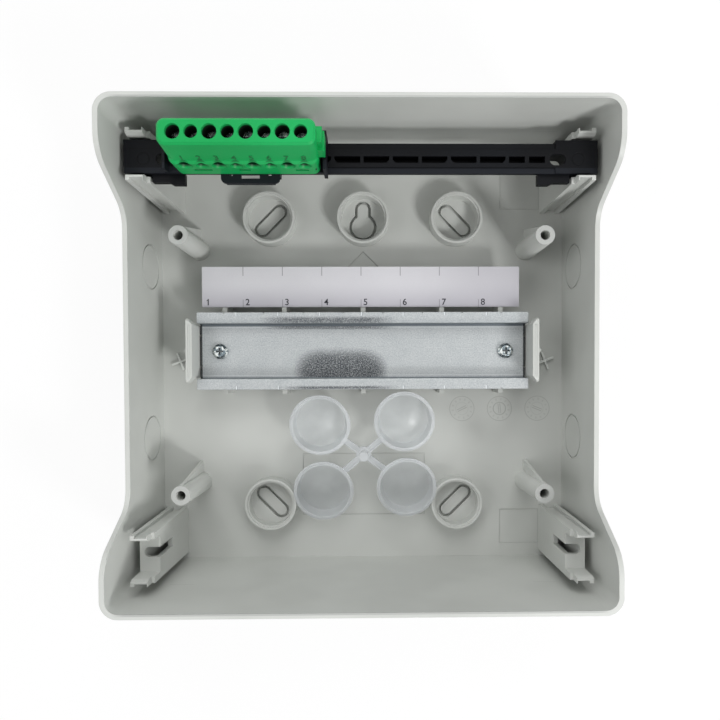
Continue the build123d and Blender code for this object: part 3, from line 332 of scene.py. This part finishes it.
def block_plastic():
    """Green plastic, with painted shade inside the screw bores, wire mouths and vents."""
    finish = moulded_plastic(
        "block_green", paint(20, 165, 87), paint(16, 155, 79), 0.4, 0.4 * MM, 0.2
    )
    x, y, z = finish.axes()
    aside = from_pole(x)
    inner = abs(x - BLOCK_X) < BLOCK_HALF
    # Painted shade inside the screw bores, wire mouths and vents
    bore_shade = disc(aside, y - BORE_Y, 2.9 * MM) * z.ramp(78.2 * MM, 79.4 * MM, 1.0, 0.0)
    bore_shade = bore_shade * (z > 56 * MM) * inner
    mouth_shade = disc(aside, z - 63.5 * MM, 3.2 * MM) * y.ramp(73.7 * MM, 74.8 * MM)
    mouth_shade = mouth_shade * (y < 84 * MM) * inner
    vent_shade = (abs(z - 58.3 * MM) < 0.95 * MM) * y.between(73.7 * MM, 77 * MM) * inner
    colour = finish.mix(either(mouth_shade, vent_shade) * 0.96, finish.now("Base Color"), paint(5, 34, 19))
    finish.set("Base Color", finish.mix(bore_shade * 0.98, colour, paint(2, 6, 4)))
    finish.set("Roughness", finish.now("Roughness") + bore_shade * 0.6)
    return finish


def zinc_coat():
    """Zinc coat with fine spangle, painted dark reflections and shade along the bends, nicks at the edges
    drawn in painted highlight and shade, and a painted dark reflection in the middle.
    """
    finish = Finish("zinc_coat", specular_ior_level=0.5, metallic=0.55)
    x, y, z = finish.axes()
    web, flanges = z < WEB_LEVEL, z > FLANGE_LEVEL
    grain = finish.noise(0.6 * MM, 4.0, 0.8)
    drawn = finish.noise(0.6 * MM, 3.0, 0.6, finish.stretched((0.08, 1.0, 1.0)))
    cloud = finish.noise(7 * MM, 4.0, 0.6)
    spangle = (grain * 0.8 + drawn * 0.08 + cloud * 0.12).ramp(0.36, 0.64)
    # Painted dark reflection left of the middle of the web, with streaks of it on both flanges and a bend
    across, rise = (x + 10.5 * MM) / (23 * MM), (y + 4.8 * MM) / (11.5 * MM)
    across = across * across
    patch = (across * across + rise * rise).ramp(0.12, 1.0, 1.0, 0.0) * (y > -7.9 * MM) * web
    upper_share = abs(x + 16 * MM).ramp(18 * MM, 34 * MM, 1.0, 0.0)
    lower_share = abs(x + 11.2 * MM).ramp(14 * MM, 30 * MM, 1.0, 0.0)
    upper = upper_share * abs(y - 18.0 * MM).ramp(0.5 * MM, 2.2 * MM, 0.8, 0.0) * flanges
    lower = lower_share * abs(y + 12.6 * MM).ramp(0.2 * MM, 1.0 * MM, 0.9, 0.0) * flanges
    bend = upper_share * abs(y - 15.2 * MM).ramp(0.2 * MM, 1.4 * MM, 0.75, 0.0) * web
    mottle = (grain * 0.9 + cloud * 0.1).ramp(0.42, 0.64, 1.0, 0.35)
    dark_reflection = either(either(patch, upper), either(lower, bend)) * mottle
    # Painted dark reflections on the walls and along both bends, a painted highlight beside them, painted
    # shade on the upper flange next to its bend, and painted shade at the ends of the web
    wall_shade = z.between(13.1 * MM, FLANGE_LEVEL)
    crease_shade = either(fine_line(y - 16.2 * MM, 0.5 * MM), fine_line(y + 8.1 * MM, 0.22 * MM)) * web
    gleam = fine_line(abs(y - RAIL_Y) - 11.1 * MM, 0.2 * MM) * web
    fold_shade = y.ramp(19.8 * MM, 17.2 * MM) * flanges * (y > 16 * MM)
    ends = (abs(x) > 74.4 * MM) * web
    # Nicks pressed into the outer edges of the flanges, each a painted highlight with a painted shade at
    # its side
    aside = x.from_nearest(-0.7 * MM, 18.93 * MM)
    edge = (abs(y - RAIL_Y) > 15.9 * MM) * flanges * (abs(x) < 66 * MM)
    colour = finish.mix(spangle, paint(150, 155, 158), paint(183, 186, 186))
    for share, tone in (
        (either(wall_shade, crease_shade) * 0.85, paint(74, 84, 92)),
        (fold_shade * 0.22, paint(110, 118, 124)),
        (gleam * 0.5, paint(206, 210, 212)),
        (ends * 0.9, paint(24, 27, 30)),
        (fine_line(aside, 0.2 * MM) * edge * 0.75, paint(222, 226, 228)),
        (fine_line(aside - 0.35 * MM, 0.14 * MM) * edge * 0.6, paint(90, 98, 104)),
        (dark_reflection * 0.96, paint(24, 30, 38)),
    ):
        colour = finish.mix(share, colour, tone)
    finish.set("Base Color", colour)
    finish.set("Roughness", grain * 0.15 + drawn * 0.12 + 0.32)
    relief = drawn * 0.4 + grain * 0.6
    finish.set("Normal", finish.bump(relief, 0.03 * MM, 0.4, finish.rounded(0.3 * MM)))
    return finish


def screw_steel(name, top, recess, aside, rise):
    """Bright screw steel with painted cloudy reflections and scratches, and painted shade in the recess.
    """
    finish = Finish(name, metallic=0.9)
    x, y, z = finish.axes()
    scratch = finish.noise(0.35 * MM, 5.0, 0.7)
    cloud = finish.noise(1.3 * MM, 3.0)
    # Painted shade in the recess; the cloudy tone below is a painted reflection
    recess_shade = disc(aside(x), y - rise, recess) * z.ramp(top - 0.5 * MM, top - 0.12 * MM, 1.0, 0.0)
    tone = finish.mix(cloud.ramp(0.42, 0.58), paint(120, 132, 138), paint(226, 230, 228))
    finish.set("Base Color", finish.mix(recess_shade * 0.85, tone, paint(34, 42, 46)))
    finish.set("Roughness", scratch * 0.2 + 0.16)
    finish.set("Normal", finish.bump(scratch, 0.02 * MM, 0.3, finish.rounded(0.15 * MM)))
    return finish


def brass():
    """Drawn brass of the bar inside the terminal block."""
    finish = Finish("bar_brass", metallic=0.95)
    drawn = finish.noise(0.5 * MM, 4.0, 0.6, finish.stretched((0.06, 1.0, 1.0)))
    cloud = finish.noise(5 * MM, 3.0)
    finish.set("Base Color", finish.mix(cloud, paint(186, 150, 78), paint(214, 184, 112)))
    finish.set("Roughness", drawn * 0.18 + 0.24)
    finish.set("Normal", finish.bump(drawn, 0.02 * MM, 0.3))
    return finish


def label_card():
    """White card with painted shade low down and a painted shadow towards the right, and a tick at each
    module edge.
    """
    finish = Finish("label_card", specular_ior_level=0.25)
    x, y, z = finish.axes()
    fibre = finish.noise(0.5 * MM, 6.0, 0.7)
    cloud = finish.noise(24 * MM, 3.0)
    # Painted shade low down and a painted shadow towards the right
    card = finish.mix(y.ramp(24.3 * MM, 36.0 * MM), paint(176, 174, 181), paint(211, 210, 214))
    card = finish.mix(x.ramp(10 * MM, 66 * MM, 0.0, 0.55), card, paint(166, 164, 171))
    card = finish.mix(cloud.ramp(0.3, 0.7, 0.0, 0.3), card, paint(196, 194, 200))
    card = finish.mix(fibre.ramp(0.35, 0.75, 0.0, 0.12), card, paint(176, 175, 182))
    away, rise = x.from_nearest(STRIP_X, MODULE), y - STRIP_Y
    ticks = fine_line(away, 0.17 * MM) * (rise > 5.1 * MM)
    ticks = ticks + fine_line(away, 0.13 * MM) * (rise < -5.7 * MM)
    printed = ticks * (abs(x - STRIP_X) < 60 * MM)
    finish.set("Base Color", finish.mix(printed * 0.62, card, paint(70, 68, 76)))
    finish.set("Roughness", fibre * 0.1 + 0.5)
    finish.set("Normal", finish.bump(fibre, 0.02 * MM, 0.2))
    return finish


def milky_plastic(name, tone, tone_dark, cover):
    """Unfilled plastic of the caps: milky, smooth and a little see-through."""
    finish = Finish(
        name, specular_ior_level=0.4, subsurface_weight=0.5,
        subsurface_radius=(1.0, 1.0, 1.0), subsurface_scale=2 * MM,
    )
    flow = finish.noise(11 * MM, 3.0, 0.6)
    fine = finish.noise(2.0 * MM, 4.0, 0.6)
    finish.set("Base Color", finish.mix(flow.ramp(0.35, 0.65), tone, tone_dark))
    finish.set("Roughness", fine * 0.12 + 0.26)
    # The walls let most of the light of the lamps through
    shadow = finish.node("ShaderNodeLightPath", output="Is Shadow Ray")
    finish.set("Alpha", (flow * 0.1 + cover) * (1 - shadow * 0.65))
    finish.set("Normal", finish.bump(fine, 0.05 * MM, 0.2))
    return finish


def ink_black():
    """Printing ink of the circuit numbers, a little uneven."""
    finish = Finish("printing_ink", specular_ior_level=0.3)
    blot = finish.noise(0.4 * MM, 4.0, 0.7)
    finish.set("Base Color", finish.mix(blot, paint(26, 26, 34), paint(44, 43, 52)))
    finish.set("Roughness", blot * 0.15 + 0.45)
    return finish


housing_grey = housing_plastic()
rail_black = rail_plastic()
mark_green = moulded_plastic(
    "mark_green", paint(18, 112, 58), paint(15, 102, 52), 0.4, 0.4 * MM, 0.3
)
rail_screw_steel = screw_steel(
    "rail_screw_steel", 15.0 * MM, 2.1 * MM, lambda x: abs(x) - RAIL_SCREW_X, RAIL_Y
)
clamp_steel = screw_steel("clamp_steel", 73.15 * MM, 2.2 * MM, from_pole, BORE_Y)
# The cap floors take a darker copy of the same milky plastic: painted shade
milky_rim = milky_plastic("milky_rim", paint(202, 205, 207), paint(194, 197, 199), 0.55)
milky_floor_shaded = milky_plastic("milky_floor_shaded", paint(197, 200, 200), paint(189, 192, 192), 0.56)
ink = ink_black()

finishes = {
    "back_box": housing_grey,
    "din_rail": zinc_coat(),
    "rail_screw_left": rail_screw_steel,
    "rail_screw_right": rail_screw_steel,
    "label_strip": label_card(),
    "terminal_support_rail": rail_black,
    "terminal_carrier": rail_black,
    "terminal_block_housing": block_plastic(),
    "terminal_bar": brass(),
    "cap_sprue": milky_rim,
    **{f"terminal_screw_{number}": clamp_steel for number in range(1, 9)},
}
for name, finish in finishes.items():
    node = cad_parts[name]
    node.data.materials.clear()
    node.data.materials.append(finish.material)


def add_piece(name, mesh, materials, body):
    """Puts a finished mesh in the scene, on a body and in a material slot of the part."""
    for finish in materials:
        mesh.materials.append(finish.material)
    piece = bpy.data.objects.new(name, mesh)
    bpy.context.scene.collection.objects.link(piece)
    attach(piece, body)
    return piece


def lettering(name, text, height, thick, place, finish, body):
    """A raised or printed numeral: an outline made a mesh, then put in its place."""
    outline = bpy.data.curves.new(name, "FONT")
    outline.body = text
    outline.size = height / 0.7  # the font's digits are 0.7 of its size high
    outline.align_x = "CENTER"
    outline.extrude = thick / 2
    outline.offset = 0.045 * MM
    outline.resolution_u = 6
    maker = bpy.data.objects.new(name + "_outline", outline)
    bpy.context.scene.collection.objects.link(maker)
    bpy.context.view_layer.update()
    drawn = maker.evaluated_get(bpy.context.evaluated_depsgraph_get())
    mesh = bpy.data.meshes.new_from_object(drawn)
    bpy.data.objects.remove(maker)
    mesh.transform(place)
    mesh.materials.clear()
    add_piece(name, mesh, [finish], body)


def slab(name, centre, size, turn, edge, finish):
    """Thin bar with eased edges, turned about Z and put in its place in the box."""
    mesh = bpy.data.meshes.new(name)
    shape = bmesh.new()
    bmesh.ops.create_cube(shape, size=1.0)
    bmesh.ops.scale(shape, verts=shape.verts, vec=size)
    bmesh.ops.bevel(
        shape, geom=list(shape.edges), offset=edge, segments=2, profile=0.5, affect="EDGES", material=-1
    )
    bmesh.ops.rotate(shape, verts=shape.verts, matrix=Matrix.Rotation(turn, 3, "Z"))
    bmesh.ops.translate(shape, verts=shape.verts, vec=centre)
    shape.to_mesh(mesh)
    shape.free()
    add_piece(name, mesh, [finish], "box")


# Printed circuit numbers on the card strip, each right of the tick of its module; the 1 has a flag
print_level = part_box("label_strip")[1].z + 0.02 * MM
first_digit_x = STRIP_X - 4 * MODULE + 2.05 * MM
for number in range(1, 9):
    spot = (first_digit_x + (number - 1) * MODULE, 25.2 * MM, print_level)
    lettering(
        f"circuit_number_{number}", str(number), 2.9 * MM, 0.03 * MM,
        Matrix.Translation(spot), ink, "box",
    )
slab(
    "circuit_number_1_flag", (first_digit_x - 0.38 * MM, 27.42 * MM, print_level),
    (0.85 * MM, 0.3 * MM, 0.03 * MM), radians(38), 0.01 * MM, ink,
)

# The groove along each rail tab holds a flush rib
for side, where in ((-1, "left"), (1, "right")):
    slab(
        f"{where}_tab_rib", (side * 77.1 * MM, RAIL_Y, 25.62 * MM),
        (0.86 * MM, 22.7 * MM, 0.62 * MM), 0.0, 0.08 * MM, housing_grey,
    )

# Pole numbers on the leaning front of the green block, drawn tall to be read from the front
block_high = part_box("terminal_block_housing")[1]
face_low = Vector((0, block_high.y - 10.9 * MM, 66.6 * MM))
face_high = Vector((0, block_high.y - 9.55 * MM, block_high.z))
up_face = (face_high - face_low).normalized()
out_face = Vector((0, -up_face.z, up_face.y))
stand = Matrix((Vector((1, 0, 0)), up_face, out_face)).transposed().to_4x4()
stand = stand @ Matrix.Diagonal((1.0, 1.25, 1.0, 1.0))
for number in range(1, 9):
    spot = face_low + up_face * 0.8 * MM + out_face * 0.05 * MM
    spot.x = FIRST_POLE_X + (number - 1) * POLE_PITCH
    lettering(
        f"pole_number_{number}", str(number), 2.8 * MM, 0.2 * MM,
        Matrix.Translation(spot) @ stand, mark_green, "terminal_block",
    )

# Caps on their cross runners, tilted on the collars of the lower wells
CAP_X, CAP_Y = 19.4 * MM, 15.7 * MM  # from the hub to the middle of each cap
CAP_TILT, CAP_TURN = radians(8.0), radians(2.3)
COLLAR_TOP, LIP_DEPTH = 11.15, 1.2  # level of the collars' tops, and the lip under a cap's rim, mm
HUB_Y, REST_Y = -44.8, -68.0  # the hub, and the line on which the lower caps rest, mm
CUP_SECTION = (  # radius and level, mm
    (0, -8.0), (11.9, -8.0), (12.3, -7.6), (13.065, -1.2), (13.85, -1.2), (14.0, -1.05),
    (14.0, -0.65), (13.85, -0.5), (13.2, -0.5), (13.2, -0.15), (13.05, 0), (12.45, 0),
    (12.3, -0.15), (11.56, -6.85), (11.3, -7.1), (4.35, -7.1), (4.2, -7.0), (0, -7.0),
)
HUB_SECTION = (  # radius and level, mm
    (0, -6.4), (3.6, -6.4), (3.6, -4.8), (3.5, -4.7), (2.2, -4.7), (2.2, -0.15), (2.05, 0), (0, 0),
)
RUNNER_SECTION = (  # width and level, mm
    (-1.45, -6.4), (1.45, -6.4), (1.45, -4.2), (0.95, -4.2),
    (0.95, -4.7), (-0.95, -4.7), (-0.95, -4.2), (-1.45, -4.2),
)


def turned(shell, section, spot, steps):
    """Adds a body turned about the Z axis through spot, from its half section."""
    points = [shell.verts.new((spot[0] + radius * MM, spot[1], level * MM)) for radius, level in section]
    edges = [shell.edges.new(pair) for pair in zip(points, points[1:])]
    bmesh.ops.spin(
        shell, geom=points + edges, cent=(*spot, 0), axis=(0, 0, 1), angle=2 * pi, steps=steps,
        use_merge=True,
    )


def runner(shell, heading):
    """Adds a channel from the hub to the side of a cap."""
    start = shell.faces.new([shell.verts.new((3.3 * MM, y * MM, z * MM)) for y, z in RUNNER_SECTION])
    grown = bmesh.ops.extrude_face_region(shell, geom=[start], use_keep_orig=True)["geom"]
    far_end = [item for item in grown if isinstance(item, bmesh.types.BMVert)]
    bmesh.ops.translate(shell, verts=far_end, vec=(9.3 * MM, 0, 0))
    bmesh.ops.rotate(
        shell, verts=far_end + list(start.verts), matrix=Matrix.Rotation(heading, 3, "Z")
    )


caps = bmesh.new()
for side in (-1, 1):
    for level in (-1, 1):
        turned(caps, CUP_SECTION, (side * CAP_X, level * CAP_Y), 96)
turned(caps, HUB_SECTION, (0, 0), 48)
diagonal = atan2(CAP_Y, CAP_X)
for heading in (diagonal, pi - diagonal, pi + diagonal, 2 * pi - diagonal):
    runner(caps, heading)
bmesh.ops.remove_doubles(caps, verts=caps.verts, dist=0.002 * MM)
bmesh.ops.recalc_face_normals(caps, faces=caps.faces)
for face in caps.faces:
    spot = face.calc_center_median()
    away = Vector((abs(spot.x) - CAP_X, abs(spot.y) - CAP_Y)).length
    face.material_index = int(away < 11.3 * MM and spot.z < -6.9 * MM)  # 1 on the floors
    face.smooth = True
caps_mesh = bpy.data.meshes.new("cap_moulding")
caps.to_mesh(caps_mesh)
caps.free()
along_x = Vector((cos(CAP_TURN), sin(CAP_TURN) * cos(CAP_TILT), sin(CAP_TURN) * sin(CAP_TILT)))
along_z = Vector((0, -sin(CAP_TILT), cos(CAP_TILT)))
caps_place = Matrix((along_x, along_z.cross(along_x), along_z)).transposed().to_4x4()
hub_level = COLLAR_TOP + LIP_DEPTH / cos(CAP_TILT) + tan(CAP_TILT) * (HUB_Y - REST_Y)
caps_place.translation = Vector((0, HUB_Y, hub_level)) * MM
caps_mesh.transform(caps_place)
caps_mesh.set_sharp_from_angle(angle=radians(35))
cap_moulding = add_piece(
    "cap_moulding", caps_mesh, [milky_rim, milky_floor_shaded], "box"
)
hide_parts("cap_sprue")

# Plain floor
floor_mesh = bpy.data.meshes.new("floor")
sheet = bmesh.new()
bmesh.ops.create_grid(sheet, x_segments=1, y_segments=1, size=6.0)
bmesh.ops.translate(sheet, verts=sheet.verts, vec=(0, 0, -0.2 * MM))
sheet.to_mesh(floor_mesh)
sheet.free()
floor = bpy.data.objects.new("floor", floor_mesh)
bpy.context.scene.collection.objects.link(floor)

# The floor is white to sight and keeps a tenth of its shadow
WHITE = (1, 1, 1, 1)
floor_finish = Finish("floor_white", specular_ior_level=0.1)
floor_finish.set("Base Color", paint(240, 240, 240))
floor_finish.set("Roughness", 0.8)
white = floor_finish.node("ShaderNodeEmission", inputs={"Color": WHITE, "Strength": 1.0})
matt = Signal(floor_finish, floor_finish.shader.outputs[0])
blend = floor_finish.node("ShaderNodeMixShader", inputs={0: floor_finish.sight() * 0.9, 1: matt, 2: white})
floor_finish.feed(floor_finish.nodes["Material Output"].inputs["Surface"], blend)
floor_mesh.materials.append(floor_finish.material)

# So is the background, which gives a faint light besides
world = bpy.data.worlds.new("studio")
bpy.context.scene.world = world
world.use_nodes = True
studio = Network(world.node_tree)
ambient = studio.nodes["Background"]
studio.feed(ambient.inputs["Color"], (0.97, 0.985, 1.0, 1))
studio.feed(ambient.inputs["Strength"], 0.12)
backdrop = studio.node("ShaderNodeBackground", inputs={"Color": WHITE, "Strength": 1.0})
blend = studio.node(
    "ShaderNodeMixShader", inputs={0: studio.sight(), 1: Signal(studio, ambient.outputs[0]), 2: backdrop}
)
studio.feed(studio.nodes["World Output"].inputs["Surface"], blend)

# Soft studio light around the box: name, place and side in metres, power in watts
for name, place, side, power in (
    ("key", (0.55, -0.55, 0.65), 0.2, 5.4),
    ("right_tent", (0.75, 0.0, 0.75), 0.9, 3.2),
    ("top_tent", (0.0, 0.8, 0.68), 0.85, 6.6),
    ("left_tent", (-0.8, 0.0, 0.68), 0.85, 4.3),
    ("front_tent", (0.0, -0.95, 0.4), 0.5, 1.8),
):
    lamp = bpy.data.lights.new(name, "AREA")
    lamp.shape = "RECTANGLE"
    lamp.size = lamp.size_y = side
    lamp.energy = power
    holder = bpy.data.objects.new(name, lamp)
    bpy.context.scene.collection.objects.link(holder)
    holder.location = place
    holder.rotation_mode = "QUATERNION"
    aim = Vector((0.0, 0.0, 30 * MM)) - Vector(place)
    holder.rotation_quaternion = aim.to_track_quat("-Z", "Y")

# Camera at the photograph's place: seen squarely from the front, close to the box
PICTURE, FOCAL = 720, 648.73  # side of the picture and focal length, pixels
MIDDLE_U, MIDDLE_V = 377.63, 386.07  # where the line of sight meets the picture, pixels
lens = bpy.data.cameras.new("camera")
lens.sensor_width = 36.0
lens.lens = lens.sensor_width * FOCAL / PICTURE
lens.shift_x = (PICTURE / 2 - MIDDLE_U) / PICTURE
lens.shift_y = (MIDDLE_V - PICTURE / 2) / PICTURE
lens.clip_start = 0.01
camera = bpy.data.objects.new("camera", lens)
bpy.context.scene.collection.objects.link(camera)
camera_turn = Euler((radians(1.404), radians(0.83), radians(0.21)), "XYZ").to_matrix().transposed()
camera_place = Vector((2.234, -4.752, 314.275)) * MM
camera.matrix_world = Matrix.Translation(camera_place) @ camera_turn.to_4x4()
bpy.context.scene.camera = camera

bpy.context.scene.view_settings.view_transform = "Standard"
